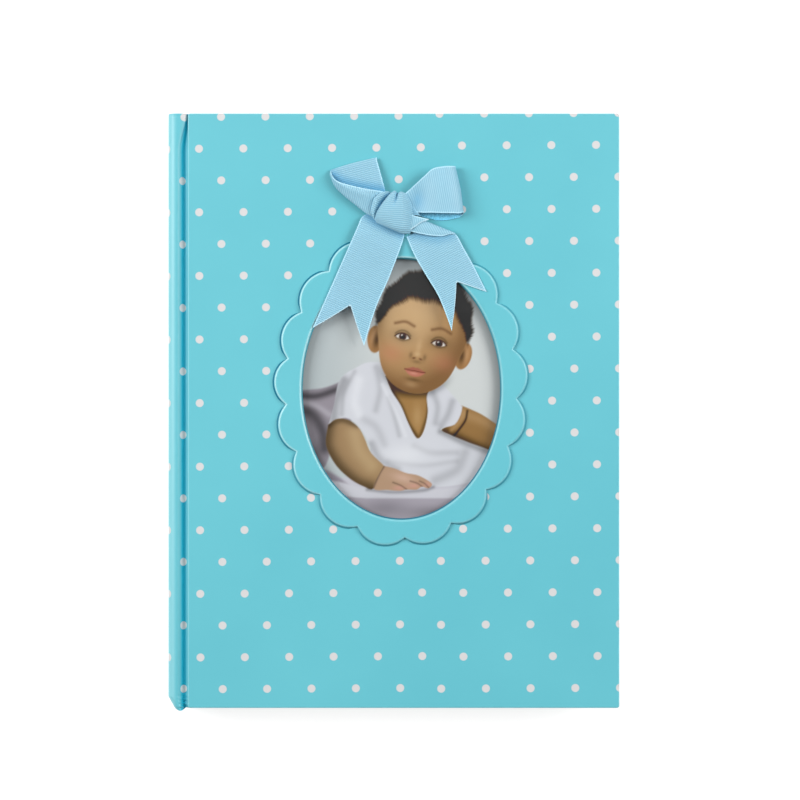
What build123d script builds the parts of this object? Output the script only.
"""Hardcover scrapbook album with a photo window, a scalloped frame and a ribbon bow on its front cover.

The album lies closed on its back cover. X runs from the spine to the fore-edge, Y from the tail to the
head and Z up through the covers. The origin is on the table, under the middle of the closed covers.
Every piece is written to parts/ in the place that it has in the closed album.
"""

import os
from math import cos, hypot, pi, sin

from build123d import *

# Driving dimensions, in millimetres.
album_width = 212.0  # spine face to fore-edge
album_height = 279.0  # tail to head
board = 2.5  # grey board of each cover
cover_paper = 0.2  # printed, laminated paper over the case
endpaper = 0.2  # pasted to the inside of each cover
turn_in = 15.0  # cover paper folded over onto the inside of a board
corner_radius = 1.0  # a cover's corners, seen from above
endpaper_margin = 3.0  # edge of a cover to the edge of its endpaper

joint_width = 9.4  # spine face to the near edge of a board
shoulder_radius = 4.0  # rounded edge of the spine
groove_depth = 2.4  # valley pressed between the spine and a board
groove_centre = 7.4  # spine face to the bottom of that valley
crest_length = 0.6  # flat along the top of the spine's rounded edge
spine_board = 1.5
lining = 0.3  # kraft paper down the back of the pages
mull = 0.4  # open cloth over the same back
glue = 1.4  # glue that holds the page hinges
band_radius = 1.1  # woven bead at the head and tail of the pages

leaf_count = 20
leaf = 0.8  # thickness of a card leaf
leaf_pitch = 1.1  # one leaf to the next
flyleaf = 0.3
hinge_strip = 0.3  # cloth hinge that carries a leaf
hinge_length = 13.5  # the bare stretch of that hinge
page_square = 4.0  # how far the covers stand out past the leaves
sheet_gap = 0.2  # air between a flyleaf and what is next to it

window_width = 93.8
window_height = 122.8
window_x = 3.7  # middle of the window
window_y = 10.3
window_step = 1.0  # how far the board's hole is set back behind the frame's
frame_thickness = 1.6
frame_waist_width = 108.8  # the oval through the notches between the scallops
frame_waist_height = 140.4
scallop_count = 17
frame_x = 3.2  # middle of that oval
frame_y = 10.7
scallop_rise = 5.8  # how far a scallop stands out past the line between its notches
first_notch = 1.6  # from the oval's foot to the first notch, counter-clockwise

print_width = 102.0
print_height = 152.0
print_thickness = 0.3
pocket_card = 0.4
pocket_margin = 8.0  # glued border of the pocket
pocket_drop = 10.0  # the print stands this far out of the pocket's mouth
thumb_radius = 11.0
print_play = 0.5  # room at each side of the print
print_clearance = 0.05  # room above and below the print

ribbon = 0.9  # stacked thickness of a ribbon tail
knot_x = -0.7
knot_y = 92.9
knot_width = 18.0
knot_length = 20.4
knot_rise = 7.0
knot_round = 3.0
loop_rise = 6.6
loop_round = 1.2
glue_pad_radius = 5.0

# Bow outlines, measured from the middle of the knot.
left_loop_outline = [
    (-28.9, 19.5), (-6.8, 25.4), (-2.8, 9.9), (-1.9, 1.4), (-10.3, -1.9), (-26.3, 13.1),
]
right_loop_outline = [
    (6.1, 9.4), (19.2, 20.2), (29.3, 21.6), (32.9, -0.7), (24.9, -3.5), (15.5, -1.9),
    (6.1, 2.8),
]
left_tail_outline = [(-11.3, -2.8), (5.6, -10.6), (-13.6, -62.9), (-20.0, -43.2), (-36.9, -54.0)]
right_tail_outline = [
    (6.8, -8.9), (9.4, -5.2), (29.6, -9.9), (44.6, -37.1), (30.2, -32.4), (28.4, -56.1),
    (13.6, -26.1),
]

# Levels that follow from them, counted up from the table.
back_board_low = cover_paper
back_turn_in_low = back_board_low + board
back_endpaper_low = back_turn_in_low + cover_paper
back_flyleaf_low = back_endpaper_low + endpaper + sheet_gap
first_leaf_low = back_flyleaf_low + flyleaf + sheet_gap
front_flyleaf_low = first_leaf_low + (leaf_count - 1) * leaf_pitch + leaf + sheet_gap
pocket_low = front_flyleaf_low + flyleaf + sheet_gap
print_low = pocket_low + pocket_card + print_clearance
front_endpaper_low = print_low + print_thickness + print_clearance
front_turn_in_low = front_endpaper_low + endpaper
front_board_low = front_turn_in_low + cover_paper
front_paper_low = front_board_low + board
album_thickness = front_paper_low + cover_paper
bow_low = album_thickness + frame_thickness + sheet_gap
loop_low = album_thickness + sheet_gap

# Places along X and Y that follow from them.
spine_face = -album_width / 2
fore_edge = album_width / 2
board_edge = spine_face + joint_width
spine_board_x = spine_face + cover_paper
spine_turn_in_x = spine_board_x + spine_board
lining_x = spine_turn_in_x + cover_paper
mull_x = lining_x + lining
glue_x = mull_x + mull
page_root = glue_x + glue
leaf_edge = page_root + hinge_length
page_fore_edge = fore_edge - page_square
page_half_height = album_height / 2 - page_square
board_half_height = album_height / 2 - cover_paper
window_centre = (window_x, window_y)


def keep(piece, node):
    """Labels a finished piece and writes it under its node's name."""
    piece.part.label = node
    export_step(piece.part, f"parts/{node}.step")


def slab(x_low, x_high, half_height, z_low, thickness):
    """A flat sheet or board between two places along X, centred on Y."""
    with BuildPart() as piece:
        with BuildSketch(Plane.XY.offset(z_low)):
            with Locations(((x_low + x_high) / 2, 0)):
                Rectangle(x_high - x_low, 2 * half_height)
        extrude(amount=thickness)
    return piece


def window_hole(z_low, depth):
    """The oval that is cut through a layer of the front cover."""
    with BuildPart() as hole:
        with BuildSketch(Plane.XY.offset(z_low)):
            with Locations(window_centre):
                Ellipse(window_width / 2 + window_step, window_height / 2 + window_step)
        extrude(amount=depth)
    return hole


def cover_board(z_low, has_window):
    """The stiff board of one cover."""
    with BuildPart() as piece:
        with BuildSketch(Plane.XY.offset(z_low)):
            with Locations(((board_edge + fore_edge - cover_paper) / 2, 0)):
                Rectangle(fore_edge - cover_paper - board_edge, 2 * board_half_height)
        extrude(amount=board)
        if has_window:
            add(window_hole(z_low, board).part, mode=Mode.SUBTRACT)
    return piece


def cover_wrap(z_low, board_low, turn_in_low, outer_low, has_window):
    """The printed paper round one board: outer face, three edges and the turn-ins behind them."""
    wrap_thickness = board + 2 * cover_paper
    inner_fore_edge = fore_edge - cover_paper - turn_in
    inner_half_height = board_half_height - turn_in
    with BuildPart() as piece:
        with BuildSketch(Plane.XY.offset(z_low)):
            with Locations(((board_edge + fore_edge) / 2, 0)):
                Rectangle(fore_edge - board_edge, album_height)
        extrude(amount=wrap_thickness)
        upright = piece.edges().filter_by(Axis.Z).group_by(Axis.X)[-1]
        fillet(upright, corner_radius)
        with BuildSketch(Plane.XY.offset(board_low)):
            with Locations(((board_edge + fore_edge - cover_paper) / 2, 0)):
                Rectangle(fore_edge - cover_paper - board_edge, 2 * board_half_height)
        extrude(amount=board, mode=Mode.SUBTRACT)
        with BuildSketch(Plane.XY.offset(turn_in_low)):
            with Locations(((board_edge + inner_fore_edge) / 2, 0)):
                Rectangle(inner_fore_edge - board_edge, 2 * inner_half_height)
        extrude(amount=cover_paper, mode=Mode.SUBTRACT)
        if has_window:
            add(window_hole(outer_low, cover_paper).part, mode=Mode.SUBTRACT)
    return piece


def pastedown(z_low, pad_low, has_window):
    """The endpaper inside one cover, bedded down between the turn-ins."""
    paper_fore_edge = fore_edge - endpaper_margin
    pad_fore_edge = fore_edge - cover_paper - turn_in
    with BuildPart() as piece:
        with BuildSketch(Plane.XY.offset(z_low)):
            with Locations(((board_edge + paper_fore_edge) / 2, 0)):
                Rectangle(paper_fore_edge - board_edge, album_height - 2 * endpaper_margin)
        extrude(amount=endpaper)
        with BuildSketch(Plane.XY.offset(pad_low)):
            with Locations(((board_edge + pad_fore_edge) / 2, 0)):
                Rectangle(pad_fore_edge - board_edge, 2 * (board_half_height - turn_in))
        extrude(amount=cover_paper)
        if has_window:
            add(window_hole(min(z_low, pad_low), endpaper + cover_paper).part, mode=Mode.SUBTRACT)
    return piece


def spine_wrap():
    """The printed paper down the spine, folded over the spine board at the head and tail."""
    height = album_thickness - 2 * shoulder_radius
    depth = lining_x - spine_face
    with BuildPart() as piece:
        with BuildSketch(Plane.XY.offset(shoulder_radius)):
            with Locations((spine_face + depth / 2, 0)):
                Rectangle(depth, album_height)
        extrude(amount=height)
        with BuildSketch(Plane.XY.offset(shoulder_radius)):
            with Locations((spine_board_x + spine_board / 2, 0)):
                Rectangle(spine_board, 2 * board_half_height)
            with Locations((spine_turn_in_x + cover_paper / 2, 0)):
                Rectangle(cover_paper, 2 * (board_half_height - turn_in))
        extrude(amount=height, mode=Mode.SUBTRACT)
    return piece


def joint_wrap():
    """The printed paper over the front joint: the spine's rounded edge, then the pressed groove."""
    crest = spine_face + shoulder_radius
    roll_start = album_thickness - shoulder_radius
    outer_side = (spine_face, roll_start)
    inner_side = (spine_face + cover_paper, roll_start)
    with BuildPart() as piece:
        with BuildSketch(Plane.XZ.offset(-album_height / 2)):
            with BuildLine():
                for depth, side in ((0, outer_side), (cover_paper, inner_side)):
                    level = album_thickness - depth
                    roll = RadiusArc(side, (crest, level), shoulder_radius - depth)
                    flat = Line(roll @ 1, (crest + crest_length, level))
                    valley = (spine_face + groove_centre, level - groove_depth)
                    Spline(flat @ 1, valley, (board_edge, level), tangents=[(1, 0), (0.6, 1)])
                Line(outer_side, inner_side)
                Line((board_edge, album_thickness), (board_edge, album_thickness - cover_paper))
            make_face()
        extrude(amount=album_height)
    return piece


def mirrored_through_thickness(piece):
    """The same piece for the back cover: turned over about the middle of the album's thickness."""
    with BuildPart() as other:
        add(piece.part)
        mirror(about=Plane.XY.offset(album_thickness / 2), mode=Mode.REPLACE)
    return other


def leaf_level(number):
    """Underside of a leaf. Leaf 1 is next to the front cover."""
    return first_leaf_low + (leaf_count - number) * leaf_pitch


def hinge_strips():
    """The bare stretch of the cloth hinge of every leaf and flyleaf, between the glue and the sheet."""
    middles = [leaf_level(number) + leaf / 2 for number in range(1, leaf_count + 1)]
    middles += [back_flyleaf_low + flyleaf / 2, front_flyleaf_low + flyleaf / 2]
    with BuildPart() as piece:
        for middle in middles:
            with BuildSketch(Plane.XY.offset(middle - hinge_strip / 2)):
                with Locations((page_root + hinge_length / 2, 0)):
                    Rectangle(hinge_length, 2 * page_half_height)
            extrude(amount=hinge_strip)
    return piece


def woven_band(end):
    """The woven bead at the head (end 1) or tail (end -1) of the pages."""
    low = back_flyleaf_low + flyleaf
    with BuildPart() as piece:
        with BuildSketch(Plane.XY.offset(low)):
            with Locations((lining_x + sheet_gap + band_radius, end * (page_half_height + band_radius))):
                Circle(band_radius)
        extrude(amount=front_flyleaf_low - low)
    return piece


def waist_points():
    """The notches between the scallops, spaced evenly round the frame's waist oval."""
    steps = 4000
    half_width = frame_waist_width / 2
    half_height = frame_waist_height / 2
    walk = []
    for step in range(steps + 1):
        turn = 2 * pi * step / steps
        walk.append((frame_x + half_width * sin(turn), frame_y - half_height * cos(turn)))
    lengths = [0.0]
    for a, b in zip(walk, walk[1:]):
        lengths.append(lengths[-1] + hypot(b[0] - a[0], b[1] - a[1]))
    points = []
    for number in range(scallop_count):
        wanted = first_notch + lengths[-1] * number / scallop_count
        points.append(next(p for p, far in zip(walk, lengths) if far >= wanted))
    return points


def window_frame():
    """The die-cut card frame: scallops outside, the oval window inside."""
    points = waist_points()
    with BuildPart() as piece:
        with BuildSketch(Plane.XY.offset(album_thickness)):
            with BuildLine(Plane.XY.offset(album_thickness)):
                for a, b in zip(points, points[1:] + points[:1]):
                    chord = hypot(b[0] - a[0], b[1] - a[1])
                    outward = ((b[1] - a[1]) / chord, (a[0] - b[0]) / chord)
                    middle = ((a[0] + b[0]) / 2, (a[1] + b[1]) / 2)
                    top = (middle[0] + outward[0] * scallop_rise, middle[1] + outward[1] * scallop_rise)
                    ThreePointArc(a, top, b)
            make_face()
            with Locations(window_centre):
                Ellipse(window_width / 2, window_height / 2, mode=Mode.SUBTRACT)
        extrude(amount=frame_thickness)
    return piece


def photo_pocket():
    """Card pocket inside the front cover, glued at three edges, with a thumb notch in its mouth."""
    width = print_width + 2 * (print_play + pocket_margin)
    low = window_y - print_height / 2 - print_play - pocket_margin
    mouth = window_y + print_height / 2 - pocket_drop
    channel_low = low + pocket_margin
    rail = front_endpaper_low - pocket_low - pocket_card
    with BuildPart() as piece:
        with BuildSketch(Plane.XY.offset(pocket_low)):
            with Locations((window_x, (low + mouth) / 2)):
                Rectangle(width, mouth - low)
            with Locations((window_x, mouth)):
                Circle(thumb_radius, mode=Mode.SUBTRACT)
        extrude(amount=pocket_card + rail)
        with BuildSketch(Plane.XY.offset(pocket_low + pocket_card)):
            with Locations((window_x, (channel_low + mouth) / 2)):
                Rectangle(print_width + 2 * print_play, mouth - channel_low)
        extrude(amount=rail, mode=Mode.SUBTRACT)
    return piece


def photo_print():
    """The loose photograph behind the window."""
    with BuildPart() as piece:
        with BuildSketch(Plane.XY.offset(print_low)):
            with Locations(window_centre):
                Rectangle(print_width, print_height)
        extrude(amount=print_thickness)
    return piece


def knot():
    """The bow's knot as one rounded lump."""
    with BuildPart() as piece:
        with BuildSketch(Plane.XY.offset(bow_low)):
            with Locations((knot_x, knot_y)):
                Ellipse(knot_width / 2, knot_length / 2)
        extrude(amount=knot_rise)
        fillet(piece.faces().sort_by(Axis.Z)[-1].edges(), knot_round)
    return piece


def glue_dot():
    """The pad of glue that holds the bow to the cover."""
    with BuildPart() as piece:
        with BuildSketch(Plane.XY.offset(album_thickness)):
            with Locations((knot_x, knot_y)):
                Circle(glue_pad_radius)
        extrude(amount=bow_low - album_thickness)
    return piece


def ribbon_part(outline, z_low, rise, edge_round):
    """A stretch of the bow as a plain pad of its outline, cut back where the knot and glue hold it."""
    grip = knot()
    pad = glue_dot()
    with BuildPart() as piece:
        with BuildSketch(Plane.XY.offset(z_low)):
            with Locations((knot_x, knot_y)):
                Polygon(*outline, align=None)
        extrude(amount=rise)
        if edge_round:
            fillet(piece.faces().sort_by(Axis.Z)[-1].edges(), edge_round)
        add(grip.part, mode=Mode.SUBTRACT)
        add(pad.part, mode=Mode.SUBTRACT)
    return piece


os.makedirs("parts", exist_ok=True)

# Back cover.
keep(cover_board(back_board_low, False), "back_board")
keep(cover_wrap(0, back_board_low, back_turn_in_low, 0, False), "back_cover_paper")
keep(pastedown(back_endpaper_low, back_turn_in_low, False), "back_pastedown")

# Spine and what holds the pages in it.
spine_height = album_thickness - 2 * shoulder_radius
keep(slab(spine_board_x, spine_turn_in_x, board_half_height, shoulder_radius, spine_height), "spine_board")
keep(spine_wrap(), "spine_paper")
front_joint = joint_wrap()
keep(front_joint, "front_joint_paper")
keep(mirrored_through_thickness(front_joint), "back_joint_paper")
front_lining = slab(page_root, board_edge, page_half_height, front_endpaper_low, endpaper)
keep(front_lining, "front_joint_lining")
back_lining = slab(page_root, board_edge, page_half_height, back_endpaper_low, endpaper)
keep(back_lining, "back_joint_lining")
page_block_height = front_endpaper_low - back_flyleaf_low
keep(slab(lining_x, mull_x, page_half_height, back_flyleaf_low, page_block_height), "spine_lining")
keep(slab(mull_x, glue_x, page_half_height, back_flyleaf_low, page_block_height), "mull_cloth")
keep(slab(glue_x, page_root, page_half_height, back_flyleaf_low, page_block_height), "binding_glue")
keep(hinge_strips(), "leaf_hinge_strips")
keep(woven_band(1), "head_band")
keep(woven_band(-1), "tail_band")

# Pages.
keep(slab(leaf_edge, page_fore_edge, page_half_height, back_flyleaf_low, flyleaf), "back_flyleaf")
keep(slab(leaf_edge, page_fore_edge, page_half_height, front_flyleaf_low, flyleaf), "front_flyleaf")
for leaf_number in range(1, leaf_count + 1):
    page = slab(leaf_edge, page_fore_edge, page_half_height, leaf_level(leaf_number), leaf)
    keep(page, f"leaf_{leaf_number:02d}")

# Front cover, its window and the photograph behind it.
keep(cover_board(front_board_low, True), "front_board")
front_wrap = cover_wrap(front_turn_in_low, front_board_low, front_turn_in_low, front_paper_low, True)
keep(front_wrap, "front_cover_paper")
keep(pastedown(front_endpaper_low, front_turn_in_low, True), "front_pastedown")
keep(window_frame(), "window_frame")
keep(photo_pocket(), "photo_pocket")
keep(photo_print(), "photo_print")

# Bow.
keep(glue_dot(), "bow_glue_dot")
keep(knot(), "bow_knot")
keep(ribbon_part(left_loop_outline, loop_low, loop_rise, loop_round), "bow_left_loop")
keep(ribbon_part(right_loop_outline, loop_low, loop_rise, loop_round), "bow_right_loop")
keep(ribbon_part(left_tail_outline, bow_low, ribbon, 0), "bow_left_tail")
keep(ribbon_part(right_tail_outline, bow_low, ribbon, 0), "bow_right_tail")
